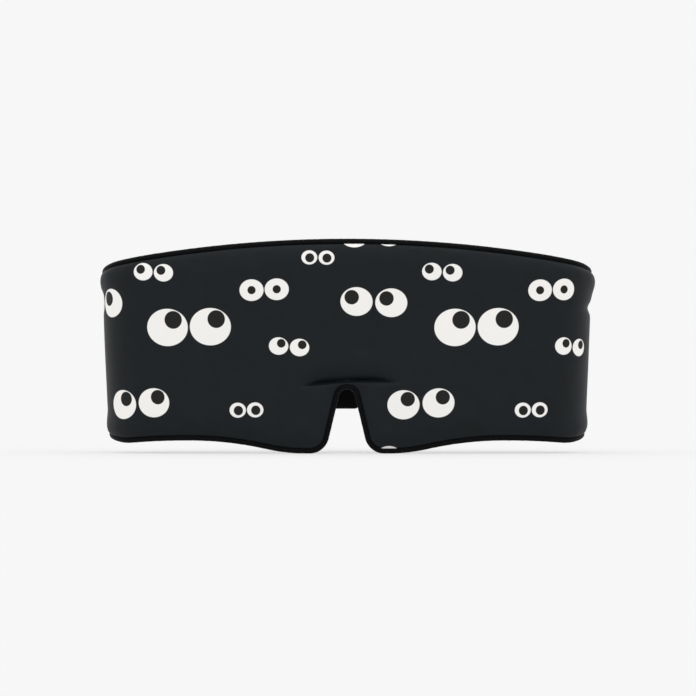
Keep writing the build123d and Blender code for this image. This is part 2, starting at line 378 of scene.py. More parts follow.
def columns_of(stretch):
    """Slice of the pad's columns that one stretch takes: the front's half runs to the fold's middle."""
    side = STRETCHES[stretch][0]
    middle = int(np.argmin(np.abs(pads[side]["s"][:, 0] - extreme[side])))
    return slice(0, middle + 1) if stretch.endswith("front") else slice(middle, None)


def fit_to_bodies(piece):
    """Bakes the piece's transform into its mesh."""
    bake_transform(piece)


def bodies_nodes(stretch, part):
    _, parent, child = STRETCHES[stretch]
    return [f"{body}_{part}" for body in (parent, child) if f"{body}_{part}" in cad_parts]


def make_piece(name, points, faces, flat, normals, finish):
    """Mesh object with its flat cloth places as UVs and the whole mask's normals."""
    mesh = bpy.data.meshes.new(name)
    mesh.from_pydata(points.tolist(), [], [list(face) for face in faces])
    mesh.validate()
    layer = mesh.uv_layers.new(name="cloth")
    index = np.empty(len(mesh.loops), np.int32)
    mesh.loops.foreach_get("vertex_index", index)
    layer.data.foreach_set("uv", flat[index].astype(np.float32).ravel())
    mesh.polygons.foreach_set("use_smooth", np.ones(len(mesh.polygons), bool))
    mesh.normals_split_custom_set_from_vertices(normals.tolist())
    mesh.materials.append(finish)
    piece = bpy.data.objects.new(name, mesh)
    bpy.context.scene.collection.objects.link(piece)
    return piece


def grid_faces(columns, rows, start=0, flip=False):
    base = start + np.arange(columns - 1)[:, None] * rows + np.arange(rows - 1)[None]
    quads = np.stack([base, base + rows, base + rows + 1, base + 1], axis=-1).reshape(-1, 4)
    return quads[:, ::-1] if flip else quads


def rim_faces(columns, rows, start, flip):
    """Strip that closes the gap between two grids, right round their edge."""
    low = np.arange(columns) * rows
    edge = np.concatenate(
        [low, np.arange(1, rows) + (columns - 1) * rows, low[::-1][1:] + rows - 1, np.arange(rows - 1)[:0:-1]]
    )
    after = np.roll(edge, -1)
    quads = np.stack([edge, edge + start, after + start, after], axis=-1)
    return quads[:, ::-1] if flip else quads


def closed_layer(name, near, far, flat, flipped, finish):
    """Closed skin between two grids of points and normals. flat is the cloth place of each grid point."""
    columns, rows = near[0].shape[:2]
    count = columns * rows
    points, normals = (np.concatenate([near[k].reshape(-1, 3), far[k].reshape(-1, 3)]) for k in (0, 1))
    faces = np.concatenate(
        [
            grid_faces(columns, rows, 0, flipped),
            grid_faces(columns, rows, count, not flipped),
            rim_faces(columns, rows, count, flipped),
        ]
    )
    return make_piece(name, points, faces, np.concatenate([flat, flat]), normals, finish)


def layer_piece(name, stretch, near, far, finish, columns=None):
    """Layer of one stretch between two depths of the whole pad, of which near is towards the outside."""
    side = STRETCHES[stretch][0]
    cut = columns_of(stretch) if columns is None else columns
    pad = pads[side]
    grids = []
    for depth, outward in ((near, 1), (far, -1)):
        points = place(side, pad["s"], pad["z"], depth)
        grids.append((points[cut], (grid_normals(points) * side * outward)[cut]))
    flat = np.stack([side * pad["s"][cut].ravel(), pad["z"][cut].ravel()], axis=1)
    piece = closed_layer(f"{name}_{stretch}", *grids, flat, side < 0, finish)
    fit_to_bodies(piece)
    return piece


# ---- Cloth finishes ----
# The satin is woven with long floats, so it shines softly along one way of the thread. The print is laid on
# it flat, before it is cut: nine pairs of plain round eyes of different sizes, in a straight repeat.

GROUND = (0.0058, 0.0080, 0.0098, 1)
EYE_WHITE = (0.83, 0.815, 0.79, 1)
PUPIL_INK = (0.0105, 0.0112, 0.0100, 1)
REPEAT_WIDE, REPEAT_HIGH = 0.140, 0.110
EYE_OVAL = 1.12  # how much wider than high an eye is
PRINT_BLUR = 0.00012  # how far the ink spreads at an edge
PAIR_FACTS = ("Middle X", "Middle Y", "Tilt", "Eye Radius", "Spacing", "Pupil Radius", "Look X", "Look Y")
# The same facts in that order, but with the tilt in degrees.
PAIRS = (
    (0.063, 0.061, 1, 0.0090, 0.0212, 0.0043, 0.0030, 0.0036),
    (0.013, 0.073, -2, 0.0069, 0.0168, 0.0035, -0.0024, 0.0020),
    (0.036, 0.024, 3, 0.0070, 0.0172, 0.0035, 0.0022, 0.0026),
    (-0.040, 0.079, 2, 0.0052, 0.0122, 0.0020, 0.0, 0.0),
    (0.046, 0.0875, -3, 0.0042, 0.0101, 0.0022, -0.0013, 0.0011),
    (-0.028, 0.0515, -4, 0.0042, 0.0102, 0.0021, 0.0012, 0.0014),
    (-0.049, 0.021, 1, 0.0036, 0.0086, 0.0023, 0.0003, -0.0002),
    (-0.014, 0.0945, -1, 0.0034, 0.0083, 0.0022, 0.0002, -0.0002),
    (0.012, 0.1065, 2, 0.0068, 0.0168, 0.0030, 0.0, 0.0),
)


def satin_weave():
    """Node group: bump height and a shade from the floats of a satin, at places given in metres."""
    group = bpy.data.node_groups.new("satin_weave", "ShaderNodeTree")
    face = group.interface
    face.new_socket("Place", in_out="INPUT", socket_type="NodeSocketVector")
    face.new_socket("Thread", in_out="INPUT", socket_type="NodeSocketFloat").default_value = 0.0003
    face.new_socket("Height", in_out="OUTPUT", socket_type="NodeSocketFloat")
    face.new_socket("Shade", in_out="OUTPUT", socket_type="NodeSocketFloat")
    nodes, links = group.nodes, group.links
    given, result = nodes.new("NodeGroupInput"), nodes.new("NodeGroupOutput")
    scale = nodes.new("ShaderNodeVectorMath")
    scale.operation = "DIVIDE"
    links.new(given.outputs["Place"], scale.inputs[0])
    links.new(given.outputs["Thread"], scale.inputs[1])
    float_run = nodes.new("ShaderNodeMapping")
    float_run.inputs["Scale"].default_value = (1.0, 0.14, 1.0)
    float_run.inputs["Rotation"].default_value = (0, 0, math.radians(4))
    links.new(scale.outputs[0], float_run.inputs["Vector"])
    floats = nodes.new("ShaderNodeTexNoise")
    floats.inputs["Scale"].default_value = 1.0
    floats.inputs["Detail"].default_value = 1.5
    links.new(float_run.outputs[0], floats.inputs["Vector"])
    slub = nodes.new("ShaderNodeTexNoise")
    slub.inputs["Scale"].default_value = 0.035
    slub.inputs["Detail"].default_value = 3.0
    links.new(scale.outputs[0], slub.inputs["Vector"])
    shade = nodes.new("ShaderNodeMath")
    shade.operation = "MULTIPLY_ADD"
    shade.inputs[1].default_value = 0.35
    links.new(floats.outputs[0], shade.inputs[0])
    links.new(slub.outputs[0], shade.inputs[2])
    links.new(floats.outputs[0], result.inputs["Height"])
    links.new(shade.outputs[0], result.inputs["Shade"])
    return group


def math_node(nodes, links, operation, *values):
    """Math node fed by sockets or numbers, in order."""
    node = nodes.new("ShaderNodeMath")
    node.operation = operation
    for socket, value in zip(node.inputs, values):
        if isinstance(value, bpy.types.NodeSocket):
            links.new(value, socket)
        else:
            socket.default_value = value
    return node.outputs[0]


def eye_pair():
    """Node group: where one printed eye pair of the repeat is white, and where its pupils are."""
    group = bpy.data.node_groups.new("eye_pair", "ShaderNodeTree")
    face = group.interface
    for name in ("Across", "Up", "Repeat Wide", "Repeat High", *PAIR_FACTS):
        face.new_socket(name, in_out="INPUT", socket_type="NodeSocketFloat")
    face.new_socket("White", in_out="OUTPUT", socket_type="NodeSocketFloat")
    face.new_socket("Pupil", in_out="OUTPUT", socket_type="NodeSocketFloat")
    nodes, links = group.nodes, group.links
    given, result = nodes.new("NodeGroupInput").outputs, nodes.new("NodeGroupOutput")

    def m(operation, *values):
        return math_node(nodes, links, operation, *values)

    wide, high = given["Repeat Wide"], given["Repeat High"]
    x = m("SUBTRACT", given["Across"], given["Middle X"])
    y = m("SUBTRACT", given["Up"], given["Middle Y"])
    x = m("SUBTRACT", x, m("MULTIPLY", m("FLOOR", m("ADD", m("DIVIDE", x, wide), 0.5)), wide))
    y = m("SUBTRACT", y, m("MULTIPLY", m("FLOOR", m("ADD", m("DIVIDE", y, high), 0.5)), high))
    cos, sin = m("COSINE", given["Tilt"]), m("SINE", given["Tilt"])
    turned_x = m("ADD", m("MULTIPLY", x, cos), m("MULTIPLY", y, sin))
    turned_y = m("SUBTRACT", m("MULTIPLY", y, cos), m("MULTIPLY", x, sin))
    half = m("MULTIPLY", given["Spacing"], 0.5)
    eye_x = m("SUBTRACT", turned_x, m("MULTIPLY", m("SIGN", turned_x), half))
    eye = m("SQRT", m("ADD", m("POWER", m("DIVIDE", eye_x, EYE_OVAL), 2.0), m("POWER", turned_y, 2.0)))
    look_x, look_y = m("SUBTRACT", eye_x, given["Look X"]), m("SUBTRACT", turned_y, given["Look Y"])
    pupil = m("SQRT", m("ADD", m("POWER", look_x, 2.0), m("POWER", look_y, 2.0)))
    for distance, radius, ink in ((eye, "Eye Radius", "White"), (pupil, "Pupil Radius", "Pupil")):
        mask = m("ADD", m("DIVIDE", m("SUBTRACT", given[radius], distance), 2 * PRINT_BLUR), 0.5)
        mask.node.use_clamp = True
        links.new(mask, result.inputs[ink])
    return group


weave = satin_weave()
pair = eye_pair()


def satin(name, colour, thread, gloss=0.07, printed=False):
    """Satin on the piece's flat cloth places, plain or printed."""
    finish = bpy.data.materials.new(name)
    finish.use_nodes = True
    nodes, links = finish.node_tree.nodes, finish.node_tree.links
    shader = nodes["Principled BSDF"]
    cloth = nodes.new("ShaderNodeUVMap")
    cloth.uv_map = "cloth"
    floats = nodes.new("ShaderNodeGroup")
    floats.node_tree = weave
    floats.inputs["Thread"].default_value = thread
    links.new(cloth.outputs[0], floats.inputs["Place"])
    shade = nodes.new("ShaderNodeMapRange")
    shade.inputs["From Min"].default_value, shade.inputs["From Max"].default_value = 0.45, 0.90
    shade.inputs["To Min"].default_value, shade.inputs["To Max"].default_value = 0.86, 1.14
    links.new(floats.outputs["Shade"], shade.inputs["Value"])
    tint = nodes.new("ShaderNodeMix")
    tint.data_type, tint.blend_type = "RGBA", "MULTIPLY"
    tint.inputs["Factor"].default_value = 1.0
    tint.inputs["A"].default_value = colour
    links.new(shade.outputs[0], tint.inputs["B"])
    base = tint.outputs["Result"]
    if printed:
        across = nodes.new("ShaderNodeSeparateXYZ")
        links.new(cloth.outputs[0], across.inputs[0])
        for facts in PAIRS:
            eyes = nodes.new("ShaderNodeGroup")
            eyes.node_tree = pair
            links.new(across.outputs["X"], eyes.inputs["Across"])
            links.new(across.outputs["Y"], eyes.inputs["Up"])
            eyes.inputs["Repeat Wide"].default_value = REPEAT_WIDE
            eyes.inputs["Repeat High"].default_value = REPEAT_HIGH
            for fact, value in zip(PAIR_FACTS, facts):
                eyes.inputs[fact].default_value = math.radians(value) if fact == "Tilt" else value
            for mask, ink in (("White", EYE_WHITE), ("Pupil", PUPIL_INK)):
                over = nodes.new("ShaderNodeMix")
                over.data_type = "RGBA"
                links.new(eyes.outputs[mask], over.inputs["Factor"])
                links.new(base, over.inputs["A"])
                over.inputs["B"].default_value = ink
                base = over.outputs["Result"]
    links.new(base, shader.inputs["Base Color"])
    bump = nodes.new("ShaderNodeBump")
    bump.inputs["Strength"].default_value = 0.35
    bump.inputs["Distance"].default_value = 0.00008
    links.new(floats.outputs["Height"], bump.inputs["Height"])
    links.new(bump.outputs[0], shader.inputs["Normal"])
    shader.inputs["Roughness"].default_value = 0.52
    shader.inputs["Specular IOR Level"].default_value = gloss
    shader.inputs["Sheen Weight"].default_value = 0.1 * gloss
    shader.inputs["Sheen Roughness"].default_value = 0.4
    return finish


# ---- Printed cover ----
# One run of printed satin, from end to end of the mask, sewn face to face with the lining and turned out. It
# is in four stretches.

printed_satin = satin("printed_satin", GROUND, 0.0003, gloss=0.14, printed=True)
for stretch, (side, *_) in STRETCHES.items():
    depth, turned = pads[side]["outer"], pads[side]["turned"]
    cover = layer_piece("cover", stretch, depth, depth + COVER + turned, printed_satin)
    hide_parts(*bodies_nodes(stretch, "cover"))

# ---- Lining ----
# Plain satin against the skin. Inside the bends it has nowhere to go, so it gathers into upright folds.

# Black satin, darkened further with painted shade: its colour is set as dark as the lining looks in the
# shadow inside the nose notch. The tab's lining uses it too.
plain_satin = satin("plain_satin", (0.0040, 0.0043, 0.0050, 1), 0.0003)
for stretch, (side, *_) in STRETCHES.items():
    depth, turned = pads[side]["inner"], pads[side]["turned"]
    lining = layer_piece("lining", stretch, depth - COVER - turned, depth, plain_satin)
    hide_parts(*bodies_nodes(stretch, "lining"))

# ---- Wadding ----
# Bonded polyester fibre, one thick batt from end to end, caught in the seams. It gives the mask its body, and
# leaves room behind the eyes for the interlining.

BLACKOUT = 0.0004  # thickness of the light-proof interlining


def fibre(name, colour, clump, depth):
    """Matt fibrous filling or felt: fine tangled strands over softer clumps."""
    finish = bpy.data.materials.new(name)
    finish.use_nodes = True
    nodes, links = finish.node_tree.nodes, finish.node_tree.links
    shader = nodes["Principled BSDF"]
    where = nodes.new("ShaderNodeTexCoord")
    strands = nodes.new("ShaderNodeTexNoise")
    strands.inputs["Scale"].default_value = 1 / clump
    strands.inputs["Detail"].default_value = 8.0
    strands.inputs["Distortion"].default_value = 1.2
    links.new(where.outputs["Object"], strands.inputs["Vector"])
    tone = nodes.new("ShaderNodeValToRGB")
    tone.color_ramp.elements[0].color = tuple(c * 0.78 for c in colour[:3]) + (1,)
    tone.color_ramp.elements[0].position = 0.3
    tone.color_ramp.elements[1].color = colour
    tone.color_ramp.elements[1].position = 0.7
    links.new(strands.outputs[0], tone.inputs["Fac"])
    links.new(tone.outputs["Color"], shader.inputs["Base Color"])
    bump = nodes.new("ShaderNodeBump")
    bump.inputs["Distance"].default_value = depth
    links.new(strands.outputs[0], bump.inputs["Height"])
    links.new(bump.outputs[0], shader.inputs["Normal"])
    shader.inputs["Roughness"].default_value = 0.95
    shader.inputs["Specular IOR Level"].default_value = 0.1
    return finish


wadding_fibre = fibre("wadding_fibre", (0.86, 0.86, 0.84, 1), 0.002, 0.0004)
for stretch, (side, *_) in STRETCHES.items():
    turned = pads[side]["turned"]
    near = pads[side]["outer"] + COVER + turned + SLIP / 2
    far = pads[side]["inner"] - COVER - turned - SLIP / 2
    if stretch.endswith("front"):
        far = far - (BLACKOUT + SLIP) * (1 - turned / turned.max())
        far = np.maximum(far, near + SLIP / 4)
    batt = layer_piece("wadding", stretch, near, far, wadding_fibre)
    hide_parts(*bodies_nodes(stretch, "wadding"))

# ---- Light-proof interlining ----
# A close-woven black cloth behind the eyes only, laid between the wadding and the lining. It thins out to
# nothing in the seams.

THINNEST = 0.02  # share of its thickness left in the seams
blackout_cloth = satin("blackout_cloth", (0.0040, 0.0040, 0.0040, 1), 0.0005, gloss=0.03)
blackout_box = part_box("front_blackout_interlining")
for stretch, (side, *_) in STRETCHES.items():
    if not stretch.endswith("front"):
        continue
    pad = pads[side]
    s = pad["s"][:, 0]
    covered = slice(0, int(np.searchsorted(s, blackout_box[1].x)))
    far = pad["inner"] - COVER - pad["turned"] - SLIP / 2
    near = far - BLACKOUT * np.clip(1 - pad["turned"] / pad["turned"].max(), THINNEST, 1)
    sheet = layer_piece("interlining", stretch, near, far, blackout_cloth, covered)
    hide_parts("front_blackout_interlining")

# ---- Piping ----
# Bias-cut satin folded round a cotton cord and caught in the seam all round the edge, the nose notch too. Its
# cut runs slantwise, so it takes the curves with only fine wrinkles.

PIPING, CORD = 0.00145, 0.00075  # radius over the satin, and of the cord in it
ROUND = 14  # sides of a tube
PIPING_STEP = 0.0008
HEADING_REACH = 0.0003  # how far to each side the piping's heading is taken from
WRINKLE, WRINKLE_SPACING = 0.05, 0.0022  # wrinkles as a share of the radius
PIPING_IN = 0.0014  # from the cut edge to the cord's middle


def tube_piece(name, stretch, line, radius, wrinkle, finish):
    """Closed tube along one stretch of an edge, at the middle of the padding's depth."""
    side = STRETCHES[stretch][0]
    ends = (0.0, extreme[side]) if stretch.endswith("front") else (extreme[side], None)
    centre, along = even(line, PIPING_STEP, *ends)
    run = np.concatenate([[0], np.cumsum(np.linalg.norm(np.diff(line, axis=0), axis=1))])
    before, after = (
        np.stack([np.interp(nearby, run, line[:, k]) for k in (0, 1)], axis=1)
        for nearby in (along - HEADING_REACH, along + HEADING_REACH)
    )
    tangent = after - before
    tangent /= np.linalg.norm(tangent, axis=1, keepdims=True)
    if ends[0] == 0.0:
        tangent[0] = (1, 0)
    square = np.stack([tangent[:, 1], -tangent[:, 0]], axis=1)
    turn = np.linspace(0, 2 * math.pi, ROUND, endpoint=False)
    offset_s, offset_z = (square[:, k, None] * np.cos(turn) for k in (0, 1))
    offset_n = np.broadcast_to(np.sin(turn), offset_s.shape)
    slant = side * along[:, None] + 0.5 * radius * turn
    size = radius * (1 + wrinkle * ripple(slant, offset_n * radius, WRINKLE_SPACING, 7.0 + line[0, 1]))

    def at(reach):
        spread = size + reach
        s, z = centre[:, :1] + offset_s * spread, centre[:, 1:] + offset_z * spread
        return place(side, s, z, centre_depth(side, s, 0.0) + offset_n * spread)

    points = at(0)
    normals = at(0.0001) - points
    normals /= np.linalg.norm(normals, axis=2, keepdims=True)
    count = len(centre)
    first = np.arange(count - 1)[:, None] * ROUND + np.arange(ROUND)[None]
    beside = np.arange(count - 1)[:, None] * ROUND + (np.arange(ROUND)[None] + 1) % ROUND
    quads = np.stack([first, beside, beside + ROUND, first + ROUND], axis=-1).reshape(-1, 4)
    faces = (quads if side > 0 else quads[:, ::-1]).tolist()
    cap = list(range(ROUND))
    last = [(count - 1) * ROUND + k for k in cap]
    faces += [cap[::-1], last] if side > 0 else [cap, last[::-1]]
    flat = np.stack(np.broadcast_arrays(along[:, None], turn[None] * radius), axis=-1).reshape(-1, 2)
    points, normals = points.reshape(-1, 3), normals.reshape(-1, 3)
    piece = make_piece(f"{name}_{stretch}", points, faces, flat, normals, finish)
    fit_to_bodies(piece)
    return piece


def piping_line(side, which):
    """Line of the piping's cord. The two run on and meet at the right band's end, where no tab is sewn in."""
    line = edge_line(side, which, PIPING_IN)
    return line if side > 0 else np.concatenate([line, [[line[-1, 0], BAND_MIDDLE]]])


piping_satin = satin("piping_satin", (0.0024, 0.0026, 0.0031, 1), 0.0003, gloss=0.05)
twisted_cotton = fibre("twisted_cotton", (0.85, 0.83, 0.78, 1), 0.0008, 0.0002)
for stretch, (side, *_) in STRETCHES.items():
    for which, edge in enumerate(("bottom", "top")):
        line = piping_line(side, which)
        piping = tube_piece(f"piping_{edge}", stretch, line, PIPING, WRINKLE, piping_satin)
        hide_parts(*bodies_nodes(stretch, f"{edge}_piping"))
        filler = tube_piece(f"filler_{edge}", stretch, line, CORD, 0.0, twisted_cotton)
        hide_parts(*bodies_nodes(stretch, f"{edge}_filler_cord"))

# ---- Closure tab ----
# The left band ends in a flat tab of the printed satin, lined with the plain one over a pressed felt
# stiffener. Its root is flattened and caught in the band's end seam, and it laps over the right band.

TAB_HALF = 0.00125  # half its thickness
TAB_RIM, TAB_ROLL = 0.00035, 0.0012  # the same at its sewn edge, and how far in from there it is full
TAB_ROOT_HALF = 0.0006
TAB_LUMPS = (0.00008, 0.006)  # rise and spacing of its unevenness
TAB_LUMPS_FROM = 0.002
TAB_CORNER = 0.014
TAB_DROPS, TAB_THINS = -0.004, -0.002  # x where it starts to drop, and to thin, towards its root
WAIST_END, WAIST_EASE = 0.0045, 0.004  # how far from the root it is narrower, and how soon it widens
WAIST_GAP = 0.0004  # room left between the root and the piping
FELT_SHORT = 0.0014  # how far the stiffener stops short of the tab's edge
TAB_PRINT = -0.036  # x of the pair of eyes on it
STRAP_CROWD = 0.35  # how much the columns of a strap crowd towards its tip

tab_low, tab_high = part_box("tab_cover")
back_bow = bow_radius(apexes[-1])
tab_out = half_deep - TAB_HALF - apexes[-1]  # from the right band's outside to the tab's middle
root_x = band_ends[1] + SEAM - SLIP
dip = tab_out - (half_deep - half_thick - apexes[-1])  # how far the tab drops to the left band's middle


def over_band(x, z, out):
    """Points behind the head, that far out from the right band's face."""
    y = apexes[-1] - back_bow + np.sqrt((back_bow + out) ** 2 - x**2)
    return np.stack(np.broadcast_arrays(x, y, z), axis=-1)


def strap_grid(tip, root, low, high, corner, columns, rows, free_root=False, waist=0.0):
    """Places from root to tip of a flat strap with rounded tip corners, and their distance from its edges."""
    share = np.linspace(0, 1, columns)
    x = root + (tip - root) * (share + STRAP_CROWD * (np.sin(share * math.pi / 2) - share))
    past = np.clip(corner - (x - tip), 0, corner)
    reach = (high - low) / 2 - waist * smooth((x - root + WAIST_END) / WAIST_EASE)
    half = reach - corner + np.sqrt(corner**2 - past**2)
    up = np.linspace(-1, 1, rows)
    up = (up + np.sin(up * math.pi / 2)) / 2
    grid_x = np.repeat(x[:, None], rows, axis=1)
    grid_z = (low + high) / 2 + half[:, None] * up[None]
    from_side = reach[:, None] - np.abs(grid_z - (low + high) / 2)
    away = np.minimum(grid_x - tip, from_side)
    inside_x, inside_z = corner - (grid_x - tip), corner - from_side
    away = np.where((inside_x > 0) & (inside_z > 0), corner - np.hypot(inside_x, inside_z), away)
    if free_root:
        away = np.minimum(away, root - grid_x)
    return grid_x, grid_z, np.maximum(away, 0)


def edge_profile(away, rim, full, roll):
    """Thickness that rounds up from rim at an edge to full."""
    return rim + (full - rim) * np.sqrt(1 - (1 - np.clip(away / roll, 0, 1)) ** 2)


def tab_middle(x):
    """How far out from the right band's face the tab's middle is: level, then down to its root."""
    return tab_out - dip * smooth((x - TAB_DROPS) / (root_x - TAB_DROPS))


def strap_layer(name, grid, near, far, finish):
    """Closed layer between two distances out from the right band, with a pair of eyes in its middle."""
    x, z, _ = grid
    grids = []
    for out, outward in ((near, 1), (far, -1)):
        points = over_band(x, z, out)
        grids.append((points, grid_normals(points) * outward))
    pair_x, pair_z = PAIRS[0][:2]
    flat = np.stack([(pair_x + TAB_PRINT - x).ravel(), (pair_z + z - BAND_MIDDLE).ravel()], axis=1)
    return closed_layer(name, *grids, flat, False, finish)


def bend_with_tab(piece):
    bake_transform(piece)


# The tab's root passes between the ends of the two runs of piping.
tab_waist = BAND_LEVEL[0] + BAND_CORNERS[1] + WAIST_GAP - tab_low.z
tab_grid = strap_grid(tab_low.x, root_x, tab_low.z, tab_high.z, TAB_CORNER, 96, 60, waist=tab_waist)
felt_edges = (tab_low.x + FELT_SHORT, root_x - FELT_SHORT, tab_low.z + FELT_SHORT, tab_high.z - FELT_SHORT)
felt_grid = strap_grid(*felt_edges, TAB_CORNER - FELT_SHORT, 60, 40, waist=tab_waist)


def tab_half(grid, short=0.0):
    """Half the tab's thickness: rolled down at its sewn edge, flattened at its root, and a little uneven."""
    x, z, away = grid
    full = TAB_HALF + (TAB_ROOT_HALF - TAB_HALF) * smooth((x - TAB_THINS) / (root_x - TAB_THINS))
    half = edge_profile(away + short, TAB_RIM, full, TAB_ROLL)
    return half + lumps(x, z, TAB_LUMPS, 3.0) * smooth((away + short) / TAB_LUMPS_FROM)


pressed_felt = fibre("pressed_felt", (0.80, 0.80, 0.79, 1), 0.0012, 0.00015)
outside, felt = tab_half(tab_grid), tab_half(felt_grid, FELT_SHORT) - COVER - SLIP
inside = np.maximum(outside - COVER, SLIP / 2)
for name, grid, near, far, finish, slot in (
    ("tab_cover", tab_grid, outside, inside, printed_satin, "printed_satin"),
    ("tab_stiffener", felt_grid, felt, -felt, pressed_felt, "stiffener"),
    ("tab_lining", tab_grid, -inside, -outside, plain_satin, "plain_satin"),
):
    middle = tab_middle(grid[0])
    piece = strap_layer(f"closure_{name}", grid, middle + near, middle + far, finish)
    bend_with_tab(piece)
    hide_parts(name)

# ---- Hook tape ----
# Woven nylon tape sewn to the tab's inner face, with rows of small moulded hooks that stand towards the
# loops. A hook's ends and handles are given as shares of its width, and of its height away from the head.

HOOK_BASE, HOOK_TALL = 0.0006, 0.00058  # thickness of the tape, and height of the hooks on it
HOOK_WIDE, HOOK_THREAD = 0.00045, 0.00009
HOOK_PITCH = 0.0016
HOOK_CORNER, HOOK_BARE = 0.004, 0.001  # radius of the tape's corners, and how far in from them it is bare
HOOK_RIM, HOOK_ROLL = 0.00015, 0.0003  # half thickness at the tape's edge, and how far in it is full
HOOK_MARGINS = (0.002, 0.0015)  # how far in from its low and high edges the hooks start and stop
HOOK_CURL = {"Start": (0.0, 0.1), "Start Handle": (0.0, -1.3), "End Handle": (1.0, -1.3), "End": (1.0, -0.55)}


def woven_tape(name, colour, rib):
    """Plain woven nylon: fine ribs across the tape."""
    finish = bpy.data.materials.new(name)
    finish.use_nodes = True
    nodes, links = finish.node_tree.nodes, finish.node_tree.links
    shader = nodes["Principled BSDF"]
    where = nodes.new("ShaderNodeTexCoord")
    ribs = nodes.new("ShaderNodeTexWave")
    ribs.inputs["Scale"].default_value = 1 / (rib * 6.3)
    ribs.inputs["Distortion"].default_value = 0.6
    ribs.inputs["Detail"].default_value = 1.0
    links.new(where.outputs["Object"], ribs.inputs["Vector"])
    tone = nodes.new("ShaderNodeValToRGB")
    tone.color_ramp.elements[0].color = tuple(c * 0.7 for c in colour[:3]) + (1,)
    tone.color_ramp.elements[1].color = colour
    links.new(ribs.outputs["Color"], tone.inputs["Fac"])
    links.new(tone.outputs["Color"], shader.inputs["Base Color"])
    bump = nodes.new("ShaderNodeBump")
    bump.inputs["Strength"].default_value = 0.5
    bump.inputs["Distance"].default_value = 0.0001
    links.new(ribs.outputs["Color"], bump.inputs["Height"])
    links.new(bump.outputs[0], shader.inputs["Normal"])
    shader.inputs["Roughness"].default_value = 0.6
    shader.inputs["Specular IOR Level"].default_value = 0.3
    return finish


def repeat_tree(name, bend, fineness):
    """Geometry Nodes tree: one small bent filament, set on every point of what it is given."""
    tree = bpy.data.node_groups.new(name, "GeometryNodeTree")
    face = tree.interface
    face.new_socket("Geometry", in_out="INPUT", socket_type="NodeSocketGeometry")
    for label in ("Height", "Width", "Thread", "Sway"):
        face.new_socket(label, in_out="INPUT", socket_type="NodeSocketFloat")
    face.new_socket("Finish", in_out="INPUT", socket_type="NodeSocketMaterial")
    face.new_socket("Geometry", in_out="OUTPUT", socket_type="NodeSocketGeometry")
    nodes, links = tree.nodes, tree.links
    given, result = nodes.new("NodeGroupInput").outputs, nodes.new("NodeGroupOutput")
    line = nodes.new("GeometryNodeCurvePrimitiveBezierSegment")
    line.inputs["Resolution"].default_value = fineness
    for label, (across, out) in bend.items():
        spot = nodes.new("ShaderNodeCombineXYZ")
        links.new(math_node(nodes, links, "MULTIPLY", given["Width"], across), spot.inputs["X"])
        links.new(math_node(nodes, links, "MULTIPLY", given["Height"], out), spot.inputs["Y"])
        links.new(spot.outputs[0], line.inputs[label])
    ring = nodes.new("GeometryNodeCurvePrimitiveCircle")
    ring.inputs["Resolution"].default_value = 4
    links.new(given["Thread"], ring.inputs["Radius"])
    skin = nodes.new("GeometryNodeCurveToMesh")
    skin.inputs["Fill Caps"].default_value = True
    links.new(line.outputs["Curve"], skin.inputs["Curve"])
    links.new(ring.outputs["Curve"], skin.inputs["Profile Curve"])
    spin = nodes.new("FunctionNodeRandomValue")
    spin.data_type = "FLOAT_VECTOR"
    spin.inputs["Seed"].default_value = 4
    swing = nodes.new("ShaderNodeVectorMath")
    swing.operation = "SCALE"
    centred = nodes.new("ShaderNodeVectorMath")
    centred.operation = "SUBTRACT"
    centred.inputs[1].default_value = (0.5, 0.5, 0.5)
    links.new(spin.outputs["Value"], centred.inputs[0])
    links.new(centred.outputs[0], swing.inputs[0])
    links.new(given["Sway"], swing.inputs["Scale"])
    place_all = nodes.new("GeometryNodeInstanceOnPoints")
    links.new(given["Geometry"], place_all.inputs["Points"])
    links.new(skin.outputs["Mesh"], place_all.inputs["Instance"])
    links.new(swing.outputs[0], place_all.inputs["Rotation"])
    real = nodes.new("GeometryNodeRealizeInstances")
    links.new(place_all.outputs["Instances"], real.inputs["Geometry"])
    dressed = nodes.new("GeometryNodeSetMaterial")
    links.new(real.outputs["Geometry"], dressed.inputs["Geometry"])
    links.new(given["Finish"], dressed.inputs["Material"])
    links.new(dressed.outputs["Geometry"], result.inputs["Geometry"])
    return tree


def grown(name, tree, points, edges, finish, sizes):
    """Plain mesh that the tree makes on those points, at the origin. sizes are the tree's named inputs."""
    seeds = bpy.data.meshes.new(name)
    seeds.from_pydata(points.reshape(-1, 3).tolist(), edges, [])
    holder = bpy.data.objects.new(name + "_seeds", seeds)
    bpy.context.scene.collection.objects.link(holder)
    modifier = holder.modifiers.new("grow", "NODES")
    modifier.node_group = tree
    sockets = {item.name: item.identifier for item in tree.interface.items_tree if item.in_out == "INPUT"}
    for label, value in sizes.items():
        modifier[sockets[label]] = value
    modifier[sockets["Finish"]] = finish
    holder.update_tag()
    bpy.context.view_layer.update()
    made = bpy.data.meshes.new_from_object(holder.evaluated_get(bpy.context.evaluated_depsgraph_get()))
    bpy.data.objects.remove(holder)
    made.name = name
    made.polygons.foreach_set("use_smooth", np.ones(len(made.polygons), bool))
    piece = bpy.data.objects.new(name, made)
    bpy.context.scene.collection.objects.link(piece)
    return piece


def spots_over(low, high, margins, pitch):
    """Rows and columns of places over a tape, x and z."""
    start, stop = margins
    across, up = (np.arange(a + start, b - stop, pitch) for a, b in ((low.x, high.x), (low.z, high.z)))
    return np.meshgrid(across, up, indexing="ij")


